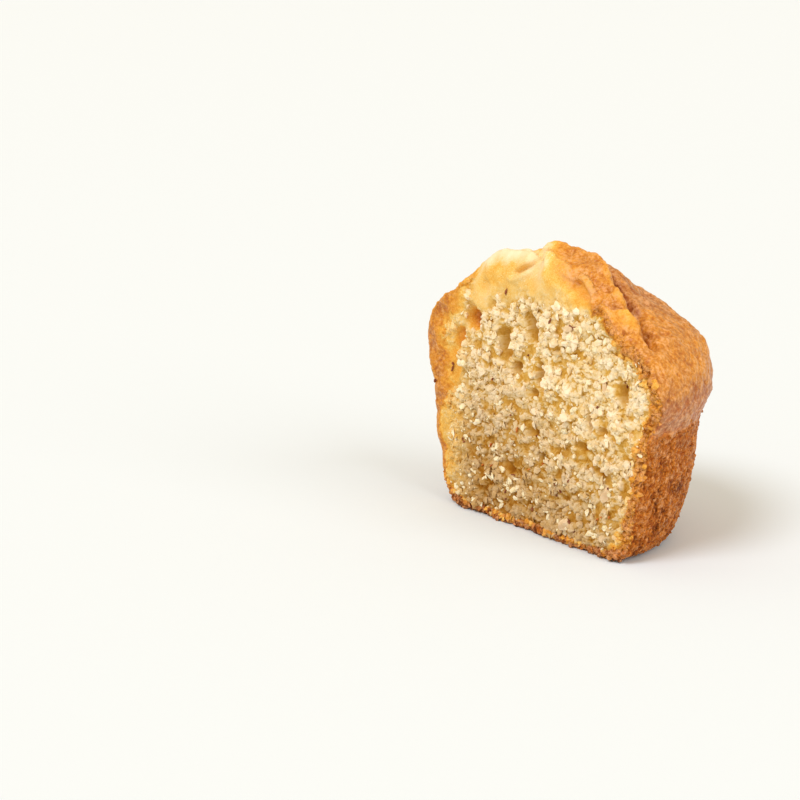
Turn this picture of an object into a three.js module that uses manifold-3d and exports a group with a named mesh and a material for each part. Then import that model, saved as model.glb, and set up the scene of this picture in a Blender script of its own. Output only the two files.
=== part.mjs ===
// A muffin-shaped almond cake, cut in half from top to bottom and standing on its base.
// The baked outside is a lathe: a tapered wall from the tin, a lip that spilled over the
// tin's rim, and a domed top that rose in a plug and cracked. A craggy cut takes the front
// half away. Millimetres, +Z up. The cake's own axis is upright and lies in the cut plane;
// the cut faces -Y. The finished solid is moved so that its box is centred over the origin.
import * as THREE from "three";
import { mergeVertices } from "three/addons/utils/BufferGeometryUtils.js";
import { ImprovedNoise } from "three/addons/math/ImprovedNoise.js";
import Module from "manifold-3d";

// Driving dimensions.
const wall = {
  baseRadius: 29.4, // of the base, were its edge sharp
  baseRounding: 5.0, // how far the base's edge is rounded
  rimRadius: 33.7, // where the wall met the rim of the tin
  rimHeight: 29.0,
};
const axis = 1.0; // how far behind the cut the cake's own axis stands
const top = {
  lipRadius: 35.3, // the widest point of the lip
  lipHeight: 34.6,
  shoulderRadius: 25.4, // where the lip's round ends and the dome's slope begins
  shoulderHeight: 48.0,
  domeHeight: 57.3, // of the dome's middle without the plug
  tilt: 1.6, // how much higher the lip stands at -X, and lower at +X
  swell: 1.8, // how much further the lip reaches at the +X end of the cut
  tuck: 1.2, // how much the lip's underside draws in at the -X end
};
// The plug of paler dough that rose through the crack in the middle of the dome.
const plug = { x: -2.0, y: 3.0, radius: 15.0, edge: 4.5, rise: 2.0 };
// The crack behind the cut, in plan: it runs down the dome to the lip.
const crack = {
  path: [[-6, 9], [-2, 10.4], [7, 10.8], [13, 9.9], [18, 8.4], [24.5, 5.9], [31, 3.5]],
  width: 1.5,
  depth: 2.6,
};
// Lumps and hollows of the top, in plan: place, radius and height.
const lumps = [
  { x: 9, y: 7.0, radius: 3.2, rise: 0.9 }, // ridge along the crack
  { x: 15, y: 6.6, radius: 2.8, rise: 1.1 },
  { x: 21.5, y: 3.6, radius: 2.6, rise: 1.0 },
  { x: 14.8, y: 1.5, radius: 2.6, rise: -1.9 }, // hollow between the ridge and the cut
  { x: 19.0, y: 0.6, radius: 1.6, rise: 1.2 }, // hooked crumb of crust beside it
  { x: 27, y: 0, radius: 6, rise: -1.2 },
  { x: -2.6, y: 0, radius: 1.5, rise: -1.6 }, // cleft between two swellings
  { x: -4, y: 13.5, radius: 5.5, rise: 1.9 }, // the summit, behind the crack
  { x: 9, y: 14, radius: 4, rise: 1.2 },
  { x: 12, y: 21, radius: 12, rise: 0.6 },
  { x: -14, y: 20, radius: 6, rise: -0.6 },
  { x: -27, y: 2, radius: 6, rise: -1.4 },
];
// Tunnels that gas left in the crumb, on the cut face: place, half width, half height,
// depth, and lean in degrees.
const tunnels = [
  { x: -20.1, z: 42.0, wide: 2.0, high: 2.4, deep: 3.4, lean: 20 },
  { x: -24.6, z: 37.6, wide: 1.5, high: 2.6, deep: 2.0, lean: -25 },
  { x: -27.4, z: 30.5, wide: 1.6, high: 4.2, deep: 1.8, lean: 8 },
  { x: -1.6, z: 43.0, wide: 1.4, high: 3.4, deep: 2.6, lean: 20 },
  { x: -8.6, z: 36.6, wide: 1.4, high: 3.4, deep: 2.4, lean: 6 },
  { x: 3.0, z: 32.6, wide: 1.5, high: 3.4, deep: 2.4, lean: 4 },
  { x: -11.5, z: 29.5, wide: 2.4, high: 1.6, deep: 1.5, lean: 30 },
  { x: 26.2, z: 34.4, wide: 1.3, high: 2.8, deep: 2.2, lean: 4 },
  { x: 18.0, z: 28.6, wide: 1.0, high: 2.4, deep: 1.5, lean: 20 },
  { x: 3.4, z: 18.0, wide: 1.6, high: 1.0, deep: 2.6, lean: -30 },
  { x: 29.6, z: 24.0, wide: 0.9, high: 2.0, deep: 1.4, lean: 10 },
  { x: 13.4, z: 22.6, wide: 2.2, high: 1.4, deep: 1.2, lean: -12 },
];
// Pieces of almond that the cut left standing in the crumb.
const almonds = [
  { x: 22.6, z: 13.0, wide: 1.3, high: 2.4, lean: 12 },
  { x: 11.6, z: 4.4, wide: 1.5, high: 2.0, lean: 38 },
  { x: 24.0, z: 34.6, wide: 0.7, high: 1.9, lean: -14 },
];
const crumbs = { count: 38, radius: 1.0, spread: 0.4 }; // crumbs that cling to the cut
const lathe = { segments: 104, wallRows: 13, lipRows: 8, domeRows: 15, baseRows: 4 };
const cut = { pitch: 1.45, crag: 0.8, smoothTop: 49.5 };

const noise = new ImprovedNoise();
const { smoothstep, degToRad } = THREE.MathUtils;
const noiseAt = (x, y, z, size) => noise.noise(x / size + 31.7, y / size + 11.3, z / size + 5.9);

// How far a point lies from the crack's line, and how far along it as a share.
function alongCrack(x, y) {
  const here = new THREE.Vector3(x, y, 0);
  const nearest = new THREE.Vector3();
  const spans = crack.path.slice(1).map((end, i) => {
    const span = new THREE.Line3(
      new THREE.Vector3(...crack.path[i], 0),
      new THREE.Vector3(...end, 0),
    );
    const share = span.closestPointToPointParameter(here, true);
    span.at(share, nearest);
    return { away: nearest.distanceTo(here), along: (i + share) / (crack.path.length - 1) };
  });
  return spans.reduce((best, span) => (span.away < best.away ? span : best));
}

// How much the top rises or sinks at a place in plan, over the plain dome.
function domeRise(x, y) {
  const fromPlug = Math.hypot(x - plug.x, y - plug.y);
  let rise = plug.rise * (1 - smoothstep(fromPlug, plug.radius - plug.edge, plug.radius + plug.edge));
  for (const lump of lumps) {
    const away = Math.hypot(x - lump.x, y - lump.y) / lump.radius;
    rise += lump.rise * Math.exp(-away * away);
  }
  const { away, along } = alongCrack(x, y);
  const depth = crack.depth * Math.sin(Math.PI * Math.min(1, 0.12 + along)) ** 0.6;
  return rise - depth * Math.exp(-((away / crack.width) ** 2));
}

// The outside as a profile of radius and height, from the axis under the base to the top.
function profile() {
  const { baseRadius, baseRounding, rimRadius, rimHeight } = wall;
  const { lipRadius, lipHeight, shoulderRadius, shoulderHeight, domeHeight } = top;
  const flat = baseRadius - baseRounding;
  const base = Array.from({ length: lathe.baseRows }, (_, i) => {
    return new THREE.Vector2((flat * i) / lathe.baseRows, 0);
  });
  const side = new THREE.SplineCurve([
    new THREE.Vector2(flat, 0),
    new THREE.Vector2(baseRadius - 0.3 * baseRounding, 0.3 * baseRounding),
    new THREE.Vector2(baseRadius + 0.4, baseRounding),
    new THREE.Vector2((baseRadius + rimRadius) / 2 + 0.4, 0.5 * rimHeight),
    new THREE.Vector2(rimRadius, rimHeight),
  ]);
  const lip = new THREE.SplineCurve([
    new THREE.Vector2(rimRadius, rimHeight),
    new THREE.Vector2(lipRadius - 0.8, rimHeight + 2.4),
    new THREE.Vector2(lipRadius, lipHeight),
    new THREE.Vector2(lipRadius - 0.6, lipHeight + 4.4),
    new THREE.Vector2(lipRadius - 2.5, lipHeight + 8.0),
    new THREE.Vector2(lipRadius - 5.4, lipHeight + 10.8),
  ]);
  const dome = new THREE.SplineCurve([
    new THREE.Vector2(lipRadius - 5.4, lipHeight + 10.8),
    new THREE.Vector2(shoulderRadius, shoulderHeight),
    new THREE.Vector2(0.5 * shoulderRadius, 0.35 * shoulderHeight + 0.65 * domeHeight),
    new THREE.Vector2(0, domeHeight),
  ]);
  return [
    ...base,
    ...side.getSpacedPoints(lathe.wallRows).slice(0, -1),
    ...lip.getSpacedPoints(lathe.lipRows).slice(0, -1),
    ...dome.getSpacedPoints(lathe.domeRows),
  ];
}

// The whole cake's outside, with its relief.
function outside() {
  const body = new THREE.LatheGeometry(profile(), lathe.segments).rotateX(Math.PI / 2);
  const place = body.getAttribute("position");
  for (let i = 0; i < place.count; i++) {
    let [x, y, z] = [place.getX(i), place.getY(i), place.getZ(i)];
    const radius = Math.max(Math.hypot(x, y), 1);
    const onLip = Math.exp(-(((z - top.lipHeight) / 7) ** 2));
    const aboveBase = smoothstep(z, 0.2, 2.5);
    const rough = 0.5 * noiseAt(x, y, z, 10) + 0.3 * noiseAt(x, y, z, 3.4);
    const angle = Math.atan2(y, x);
    const nearEnd = Math.exp(-((angle / 0.5) ** 2));
    const farEnd = Math.exp(-(((angle - Math.PI) / 0.5) ** 2) - ((z - wall.rimHeight) / 4) ** 2);
    const swell = top.swell * onLip * nearEnd - top.tuck * farEnd;
    const out = 1 + (swell + aboveBase * rough) / radius;
    z -= (top.tilt * smoothstep(z, 0.5 * wall.rimHeight, wall.rimHeight) * x) / top.lipRadius;
    z += smoothstep(z, top.lipHeight, top.lipHeight + 9) * (domeRise(x, y + axis) + rough);
    place.setXYZ(i, x * out, y * out + axis, z);
  }
  return body;
}

// How far back the cut runs at a place on it: crags, tunnels, and the smooth dense dough
// under the crust, whose top edge is rounded.
function cutDepth(x, z) {
  const smooth = smoothstep(z + 0.1 * Math.abs(x + 4), cut.smoothTop - 2, cut.smoothTop + 2);
  const crag = noiseAt(x, 0, z, 5.2) + 0.5 * noiseAt(x, 9, z, 3.1);
  let depth = cut.crag * crag * (1 - 0.75 * smooth) + 0.9 * noiseAt(x, 4, z, 17);
  depth += smooth * 0.5 * Math.sin((z - cut.smoothTop) * 0.8 + 0.6);
  depth += 2.6 * smoothstep(z, 54, 60) * smooth;
  for (const t of tunnels) {
    const lean = degToRad(t.lean);
    const across = ((x - t.x) * Math.cos(lean) + (z - t.z) * Math.sin(lean)) / t.wide;
    const up = ((z - t.z) * Math.cos(lean) - (x - t.x) * Math.sin(lean)) / t.high;
    depth += t.deep * Math.exp(-((across * across + up * up) ** 2));
  }
  return depth;
}

// The block that the cut takes away, with the cut as its back face.
function cutBlock() {
  const [wide, deep, high] = [84, 50, 72];
  const block = new THREE.BoxGeometry(
    wide, deep, high,
    Math.round(wide / cut.pitch), 1, Math.round(high / cut.pitch),
  ).translate(0, -deep / 2, high / 2 - 4);
  const place = block.getAttribute("position");
  for (let i = 0; i < place.count; i++) {
    if (place.getY(i) < -deep / 2) continue;
    place.setY(i, cutDepth(place.getX(i), place.getZ(i)));
  }
  return block;
}

// A shape as a solid that can be joined and cut.
function solidOf(wasm, geometry) {
  geometry.deleteAttribute("normal");
  geometry.deleteAttribute("uv");
  const merged = mergeVertices(geometry, 1e-3);
  return new wasm.Manifold(
    new wasm.Mesh({
      numProp: 3,
      vertProperties: merged.getAttribute("position").array,
      triVerts: new Uint32Array(merged.index.array),
    }),
  );
}

// A small faceted lump, set into the cut at a place on it.
function setInCut(x, z, wide, high, thick, lean, turn) {
  return new THREE.IcosahedronGeometry(1, 0)
    .rotateX(turn)
    .scale(wide, thick, high)
    .rotateY(lean)
    .translate(x, cutDepth(x, z) + 0.2 * thick, z);
}

// The places of crumbs on the cut, spread by the golden angle inside its outline.
function crumbPlaces() {
  const golden = Math.PI * (3 - Math.sqrt(5));
  return Array.from({ length: crumbs.count }, (_, i) => {
    const share = Math.sqrt((i + 0.5) / crumbs.count);
    return {
      x: 28 * share * Math.cos(i * golden),
      z: 24.5 + 21.5 * share * Math.sin(i * golden),
      size: crumbs.radius + crumbs.spread * Math.sin(i * 2.3),
      turn: i * 1.1,
    };
  });
}

const wasm = await Module();
wasm.setup();

let cake = solidOf(wasm, outside()).subtract(solidOf(wasm, cutBlock()));
for (const { x, z, size, turn } of crumbPlaces()) {
  cake = cake.add(solidOf(wasm, setInCut(x, z, size, 0.8 * size, 0.7 * size, turn, turn)));
}
for (const { x, z, wide, high, lean } of almonds) {
  cake = cake.add(solidOf(wasm, setInCut(x, z, wide, high, 1.1, degToRad(lean), 0.4)));
}

const { vertProperties, triVerts } = cake.getMesh();
const geometry = new THREE.BufferGeometry()
  .setAttribute("position", new THREE.BufferAttribute(vertProperties, 3))
  .setIndex(new THREE.BufferAttribute(triVerts, 1));
geometry.computeBoundingBox();
const { min, max } = geometry.boundingBox;

const crust = new THREE.MeshStandardMaterial({ color: 0xd9a860, roughness: 0.75 });
const half = new THREE.Mesh(geometry, crust);
half.name = "almond_cake_half";
half.position.set(-(min.x + max.x) / 2, -(min.y + max.y) / 2, -min.z);
const part = new THREE.Group();
part.add(half);
export default part;
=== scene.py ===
# Half of a muffin-shaped almond cake, standing on its base with the cut in front.
# The cake is shaped in millimetres round its own axis, x along the cut, y to the back and
# z up from the base, and toRow then sets it in the part's frame in metres.
import math
import random

import bmesh
import bpy
from mathutils import Matrix, Vector, noise
from mathutils.bvhtree import BVHTree


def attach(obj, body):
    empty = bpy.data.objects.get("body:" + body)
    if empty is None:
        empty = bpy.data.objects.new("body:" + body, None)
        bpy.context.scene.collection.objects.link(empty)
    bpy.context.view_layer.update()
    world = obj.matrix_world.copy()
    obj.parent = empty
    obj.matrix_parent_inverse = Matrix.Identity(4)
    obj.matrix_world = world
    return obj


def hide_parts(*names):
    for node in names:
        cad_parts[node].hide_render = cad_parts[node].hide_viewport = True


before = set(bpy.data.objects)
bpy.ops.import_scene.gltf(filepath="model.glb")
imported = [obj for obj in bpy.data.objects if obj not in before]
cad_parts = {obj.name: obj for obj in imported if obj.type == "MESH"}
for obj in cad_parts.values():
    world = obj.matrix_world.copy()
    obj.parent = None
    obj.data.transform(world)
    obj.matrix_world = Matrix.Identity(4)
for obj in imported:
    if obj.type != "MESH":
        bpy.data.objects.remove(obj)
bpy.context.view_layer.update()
toRow = Matrix.Translation((-0.001036, -0.017426, 0)) @ Matrix.Scale(0.001, 4)
chance = random.Random(7)

view = dict(azimuth=53.2, elevation=13.6, lens=85, place=(0.28416, -0.26483, 0.1192))


def setCamera():
    camera = bpy.data.objects.new("camera", bpy.data.cameras.new("camera"))
    bpy.context.scene.collection.objects.link(camera)
    camera.data.lens = view["lens"]
    camera.data.clip_start = 0.01
    camera.location = view["place"]
    camera.rotation_euler = (
        math.radians(90 - view["elevation"]), 0, math.radians(view["azimuth"]))
    bpy.context.scene.camera = camera


setCamera()
print("camera set")


def clamp(value):
    return min(max(value, 0), 1)


def ease(value, low, high):
    # From 0 below low to 1 above high, with soft ends.
    share = clamp((value - low) / (high - low))
    return share * share * (3 - 2 * share)


def ripple(place, size, seed=0.0):
    # Smooth noise about 0, with waves of that size in millimetres.
    return noise.noise(Vector(place) / size + Vector((seed, 1.7 * seed, 0.6 * seed)))


def ripples(place, layers):
    return sum(amount * ripple(place, size, seed) for amount, size, seed in layers)


def flakeRelief(place, size, seed):
    # Torn flakes: every cell leans its own way, with a narrow gap to its neighbours.
    spot = Vector(place) / size + Vector((seed, seed, seed))
    away, centres = noise.voronoi(spot)
    lean = noise.cell_vector(centres[0] * 41) - Vector((0.5, 0.5, 0.5))
    height = 0.9 * lean.z + 1.3 * (spot - centres[0]).dot(lean)
    gap = 1 - ease(away[1] - away[0], 0.02, 0.22)
    return height, gap


def newPiece(name, bm):
    mesh = bpy.data.meshes.new(name)
    bm.to_mesh(mesh)
    bm.free()
    piece = bpy.data.objects.new(name, mesh)
    bpy.context.scene.collection.objects.link(piece)
    return piece


def applyModifiers(piece):
    depsgraph = bpy.context.evaluated_depsgraph_get()
    mesh = bpy.data.meshes.new_from_object(piece.evaluated_get(depsgraph))
    old = piece.data
    piece.modifiers.clear()
    piece.data = mesh
    bpy.data.meshes.remove(old)
    mesh.name = piece.name


def countTriangles(piece):
    return sum(len(face.vertices) - 2 for face in piece.data.polygons)


def settle(piece, material, smooth=True):
    piece.data.materials.clear()
    piece.data.materials.append(material)
    piece.data.transform(toRow)
    piece.data.polygons.foreach_set("use_smooth", [smooth] * len(piece.data.polygons))
    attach(piece, "root")
    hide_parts("almond_cake_half")
    print(piece.name, countTriangles(piece), "triangles")


# The baked outside: a lathe with the relief of the top.
form = dict(
    axis=1.0,  # how far behind the cut the cake's axis stands
    cutPlane=0.5,  # where the outline of the cut is measured
    baseRadius=29.4, baseRounding=5.0, rimRadius=33.7, rimHeight=29.0,
    lipRadius=35.3, lipHeight=34.6, shoulderRadius=25.4, shoulderHeight=48.0, domeHeight=57.3,
    tilt=1.6,  # how much lower the rim is at the near end
    swell=1.8, tuck=1.2,  # the lip's bulge at the near end and its tuck at the far end
    rough=[(0.45, 10, 3), (0.35, 3.4, 5)],  # amount, size, seed
    steps=96, fine=3,
    plug=dict(x=-2.0, y=3.0, radius=15.0, edge=4.5, rise=2.0),  # the raised middle of the top
    # tint: the bake painted inside a crack, painted shadow in the split and its folds, the dough's
    # own pale colour in the cleft
    cracks=[
        dict(  # the long split of the top, in plan
            path=[(-6, 9), (-2, 10.4), (7, 10.8), (13, 9.9), (18, 8.4), (24.5, 5.9), (31, 3.5)],
            front=0.6, behind=1.5, depth=5.6, lobe=1.7, fade=0.12, tint=1.0),
        dict(  # the folds under its front lobe
            path=[(15.5, -1.5), (18.2, 1.2), (20.4, 3.2), (22.5, 4.6)],
            front=0.6, behind=0.9, depth=1.7, lobe=0.4, fade=0.35, tint=0.50),
        dict(
            path=[(7, -2), (10.5, 1.5), (14, 3.8), (18, 5.2)],
            front=0.5, behind=0.8, depth=1.1, lobe=0.35, fade=0.3, tint=0.42),
        dict(  # the cleft in the dough
            path=[(1.2, -2.0), (-2.0, 1.6), (-7.0, 6.5)],
            front=0.9, behind=0.8, depth=2.3, lobe=0.6, fade=0.05, tint=0.10),
    ],
    lumps=[  # x, y, radius, rise
        (9, 7.0, 3.2, 0.7), (5.5, 4.0, 3.0, -1.1), (13.5, 6.2, 3.2, 1.5), (18.4, 5.2, 2.0, 0.8),
        (22.4, 2.6, 2.2, 1.1), (15.3, 0.6, 2.8, 1.7), (19.6, 0.4, 1.6, 0.9), (25, 0, 5, -1.5),
        (20.6, 9.6, 0.9, -1.3), (26.6, 9.9, 1.0, -1.2), (31.8, 0.8, 0.8, -0.8),
        (33.7, 1.8, 0.7, -0.6), (-2.6, 0, 1.5, -1.6), (-4, 13.5, 5.5, 1.2), (9, 14, 4, 1.2),
        (-10.5, 2, 6, 0.7), (-18.2, 1, 4.5, 2.9), (12, 21, 12, 0.6), (-14, 20, 6, -0.6),
        (-27, 2, 6, -1.4),
    ],
)


def smoothRun(points, rows, cuts=24):
    # A smooth line through the points, cut into rows of one length.
    ends = [points[0]] + points + [points[-1]]
    fineLine = []
    for a, b, c, d in zip(ends, ends[1:], ends[2:], ends[3:]):
        for i in range(cuts):
            t = i / cuts
            fineLine.append(tuple(
                0.5 * (2 * q + (r - p) * t + (2 * p - 5 * q + 4 * r - s) * t * t
                       + (3 * q - p - 3 * r + s) * t ** 3)
                for p, q, r, s in zip(a, b, c, d)))
    fineLine.append(points[-1])
    lengths = [0]
    for a, b in zip(fineLine, fineLine[1:]):
        lengths.append(lengths[-1] + math.dist(a, b))
    spaced = []
    for row in range(rows):
        goal = lengths[-1] * row / rows
        i = max(k for k, length in enumerate(lengths) if length <= goal)
        share = (goal - lengths[i]) / (lengths[i + 1] - lengths[i])
        spaced.append(tuple(p + (q - p) * share for p, q in zip(fineLine[i], fineLine[i + 1])))
    return spaced


def bakedProfile():
    f = form
    flat = f["baseRadius"] - f["baseRounding"]
    rim = (f["rimRadius"], f["rimHeight"])
    neck = (f["lipRadius"] - 5.4, f["lipHeight"] + 10.8)
    side = [
        (flat, 0), (f["baseRadius"] - 0.3 * f["baseRounding"], 0.3 * f["baseRounding"]),
        (f["baseRadius"] + 0.4, f["baseRounding"]),
        ((f["baseRadius"] + f["rimRadius"]) / 2 + 0.4, 0.5 * f["rimHeight"]), rim,
    ]
    lip = [
        rim, (f["lipRadius"] - 0.8, f["rimHeight"] + 2.4), (f["lipRadius"], f["lipHeight"]),
        (f["lipRadius"] - 0.6, f["lipHeight"] + 4.4), (f["lipRadius"] - 2.5, f["lipHeight"] + 8.0),
        neck,
    ]
    dome = [
        neck, (f["shoulderRadius"], f["shoulderHeight"]),
        (0.5 * f["shoulderRadius"], 0.35 * f["shoulderHeight"] + 0.65 * f["domeHeight"]),
        (0, f["domeHeight"]),
    ]
    base = [(flat * i / 6, 0) for i in range(6)]
    return base + smoothRun(side, 24) + smoothRun(lip, 14) + smoothRun(dome, 26) + [dome[-1]]


def alongPath(path, x, y):
    # How far the spot is from the path, which side it is on and how far along.
    best = (99.0, 1, 0.0)
    for i, (start, end) in enumerate(zip(path, path[1:])):
        dx, dy = end[0] - start[0], end[1] - start[1]
        share = clamp(((x - start[0]) * dx + (y - start[1]) * dy) / (dx * dx + dy * dy))
        away = math.hypot(x - start[0] - share * dx, y - start[1] - share * dy)
        side = 1 if dx * (y - start[1]) - dy * (x - start[0]) > 0 else -1
        best = min(best, (away, side, (i + share) / (len(path) - 1)))
    return best


def crackDepth(x, y, reach=7):
    # How deep the cracks go, how far the spot is inside one, and the bake painted inside it, which
    # is painted shadow in the split and its folds and the dough's own pale colour in the cleft.
    total, inside, tint = 0, 0, 0
    for crack in form["cracks"]:
        away, side, along = alongPath(crack["path"], x, y)
        if away > reach:
            continue
        strength = ease(along, -0.01, crack["fade"]) * (1 - ease(along, 0.86, 1.01))
        width = crack["front"] if side < 0 else crack["behind"]
        total += strength * crack["depth"] * math.exp(-(away / width) ** 2)
        share = strength * math.exp(-(away / (0.7 * width + 0.3)) ** 2)
        if share > inside:
            inside, tint = share, crack["tint"]
        if side < 0:  # the crust in front is rolled up
            total -= strength * crack["lobe"] * math.exp(-((away - 2.4) / 1.5) ** 2)
    return total, inside, tint


def domeRise(x, y):
    plug = form["plug"]
    inner, outer = plug["radius"] - plug["edge"], plug["radius"] + plug["edge"]
    rise = plug["rise"] * (1 - ease(math.hypot(x - plug["x"], y - plug["y"]), inner, outer))
    for lx, ly, radius, height in form["lumps"]:
        away = math.hypot(x - lx, y - ly) / radius
        if away < 3:
            rise += height * math.exp(-away * away)
    return rise - crackDepth(x, y)[0]


def shapeOutside(place):
    x, y, z = place
    radius = max(math.hypot(x, y), 1)
    onLip = math.exp(-((z - form["lipHeight"]) / 7) ** 2)
    aboveBase = ease(z, 0.2, 2.5)
    rough = ripples(place, form["rough"])
    angle = math.atan2(y, x)
    nearEnd = math.exp(-(angle / 0.5) ** 2)
    farEnd = math.exp(-((angle - math.pi) / 0.5) ** 2 - ((z - form["rimHeight"]) / 4) ** 2)
    swell = form["swell"] * onLip * nearEnd - form["tuck"] * farEnd
    out = 1 + (swell + aboveBase * rough) / radius
    tilted = ease(z, 0.5 * form["rimHeight"], form["rimHeight"])
    lean = form["tilt"] * tilted * x / form["lipRadius"]
    onTop = ease(z, form["lipHeight"], form["lipHeight"] + 9)
    rise = onTop * (domeRise(x, y + form["axis"]) + rough) if onTop else 0
    return Vector((x * out, y * out + form["axis"], z - lean + rise))


def makeOutside():
    bm = bmesh.new()
    last = None
    for radius, height in bakedProfile():
        point = bm.verts.new((radius, 0, height))
        if last:
            bm.edges.new((last, point))
        last = point
    bmesh.ops.spin(
        bm, geom=bm.verts[:] + bm.edges[:], cent=(0, 0, 0), axis=(0, 0, 1), dvec=(0, 0, 0),
        angle=2 * math.pi, steps=form["steps"], use_merge=True)
    bmesh.ops.remove_doubles(bm, verts=bm.verts, dist=0.001)
    bmesh.ops.subdivide_edges(bm, edges=bm.edges, cuts=form["fine"], use_grid_fill=True)
    for point in bm.verts:
        point.co = shapeOutside(point.co)
    bmesh.ops.recalc_face_normals(bm, faces=bm.faces)
    return bm


outsideForm = makeOutside()
skin = BVHTree.FromBMesh(outsideForm)
print("outside", len(outsideForm.faces), "faces")


def rimLine(x):
    return form["rimHeight"] - form["tilt"] * x / form["lipRadius"]


def underSkin(place):
    # Every face that is as near as the nearest has a say in which side the place is on.
    away = skin.find_nearest(place)[3]
    side = sum((place - spot).dot(normal)
               for spot, normal, index, length in skin.find_nearest_range(place, away + 0.02))
    return away if side < 0 else -away


def underOutline(x, z):
    return underSkin(Vector((x, form["cutPlane"], z)))


def outlinePoint(angle, middle=27):
    start = Vector((0, form["cutPlane"], middle))
    aim = Vector((math.cos(angle), 0, math.sin(angle)))
    spot, normal, index, away = skin.ray_cast(start, aim)
    return spot, normal


# The cut: crags, tunnels that gas left, and smooth dough at the top.
cut = dict(
    crag=0.8, edgeRound=1.0, lobeRound=1.7, topRound=5.5, lobeBulge=0.8,
    hollows=[  # x, z, half width, half height, depth, lean in degrees, tint (bake of the wall)
        (-20.4, 41.9, 2.4, 2.3, 3.8, 35, 0.4), (-24.9, 37.0, 1.5, 2.8, 1.8, -20, 0.27),
        (-26.6, 31.0, 2.2, 4.2, 1.2, 8, 0.2), (-1.2, 42.8, 1.5, 3.3, 3.4, 16, 0),
        (-9.9, 37.9, 1.6, 3.4, 3.0, 4, 0), (-6.4, 33.6, 1.3, 1.3, 2.2, 40, 0),
        (2.1, 33.2, 1.5, 2.9, 3.4, 4, 0), (-0.2, 29.4, 1.2, 0.8, 1.5, 0, 0),
        (26.2, 34.0, 1.0, 2.2, 2.4, 10, 0), (17.4, 27.0, 0.6, 1.9, 2.0, 14, 0),
        (21.2, 25.6, 1.2, 0.9, 1.6, 0, 0), (2.6, 16.2, 1.0, 0.8, 2.2, -30, 0),
        (-0.6, 21.0, 1.5, 0.8, 1.2, 20, 0), (15.2, 21.6, 1.8, 0.9, 1.3, -12, 0),
        (12.6, 53.2, 4.6, 1.5, 2.4, -26, 0.05), (-16.2, 49.2, 1.5, 1.6, 0.9, 30, 0.13),
        (20.8, 17.6, 1.4, 0.8, 1.1, -20, 0), (-8.0, 12.0, 2.2, 0.8, 1.0, -15, 0),
    ],
    cleft=[(-0.2, 59.4), (-1.5, 57.2), (-3.1, 55.5), (-6.9, 53.4)],
    hook=[(16.4, 51.6), (17.4, 52.6), (19.4, 53.2)],
    doughLine=[  # x and z of the line under the dough
        (-40, 41), (-24, 43.5), (-17.5, 46.6), (-11, 49.6), (-4.6, 51.2), (1.6, 51.0),
        (7.7, 52.2), (13.5, 51.2), (17.5, 50.6), (40, 60)],
)


def doughHeight(x):
    line = cut["doughLine"]
    for (x0, z0), (x1, z1) in zip(line, line[1:]):
        if x <= x1:
            return z0 + (z1 - z0) * ease(x, x0, x1)
    return line[-1][1]


def smoothDough(x, z):
    line = doughHeight(x) + 2.2 * ripple((x, 0, z), 3.2, 9)
    return ease(z, line - 4.5, line + 2.0) * (1 - ease(x, 15, 19)) * ease(x, -23, -18)


def lobeShare(x, z):
    # The thick rolled edge of crust along the top of the cut.
    return ease(x, 4, 9) * (1 - ease(x, 28, 33)) * ease(z, 40, 43)


def hollowAt(x, z):
    depth, smooth, tint, dark = 0, 0, 0, 0
    for hx, hz, wide, high, deep, lean, colour in cut["hollows"]:
        if abs(x - hx) > 3 * wide + high or abs(z - hz) > 3 * high + wide:
            continue
        turn = math.radians(lean)
        wobble = 1 + 0.15 * ripple((x, 0, z), 2.4, 19)
        across = ((x - hx) * math.cos(turn) + (z - hz) * math.sin(turn)) / wide * wobble
        up = ((z - hz) * math.cos(turn) - (x - hx) * math.sin(turn)) / high * wobble
        share = 1 / (1 + (across * across + up * up) ** 3)
        depth += deep * share
        if share > smooth:
            # dark: the right side of a hollow, painted darker as a painted shadow.
            smooth, tint, dark = share, colour, ease(across, -0.5, 0.7)
    return depth, smooth, tint, dark


def roundedEdge(depth, radius):
    over = 1 - min(max(depth, 0) / radius, 1)
    return 0.8 * radius * (1 - math.sqrt(1 - over * over))


def cutShape(x, z, depth):
    # How far back the cut lies, how smooth it is there, the tint of a hollow, and how much painted
    # shadow falls on its right side there.
    dough = smoothDough(x, z)
    crag = ripple((x, 0, z), 5.2, 2) + 0.5 * ripple((x, 9, z), 3.1, 4)
    back = cut["crag"] * crag * (1 - 0.7 * dough) + 0.9 * ripple((x, 4, z), 17, 6)
    back += roundedEdge(depth, cut["topRound"]) * dough
    lobe = lobeShare(x, z)
    edgeRound = cut["edgeRound"] + (cut["lobeRound"] - cut["edgeRound"]) * lobe
    back += roundedEdge(depth, edgeRound) * (1 - dough)
    back -= cut["lobeBulge"] * lobe * math.exp(-((depth - 1.5) / 0.9) ** 2)
    if z > 50:
        away, side, along = alongPath(cut["cleft"], x, z)
        back += 1.7 * math.exp(-(away / 0.6) ** 2)
        back -= 0.8 * math.exp(-((away - 1.3) / 0.9) ** 2) * (side > 0)
        back += 1.6 * math.exp(-(alongPath(cut["hook"], x, z)[0] / 0.4) ** 2)
    hollow, smooth, tint, dark = hollowAt(x, z)
    inner = ease(depth, 0.6, 2.0)
    # At the far end a smooth orange band, its tint partly a painted glow of backlight through the
    # thin edge.
    farBand = 1 - ease(depth, 1.5 + 3 * ease(z, 20, 26), 6.5)
    farBand = 0.7 * ease(-x, 20, 27) * ease(z, 4, 10) * farBand
    smooth = max(dough, smooth * inner, farBand)
    return back + hollow * inner, smooth, max(tint, 0.34 * farBand), dark


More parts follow.
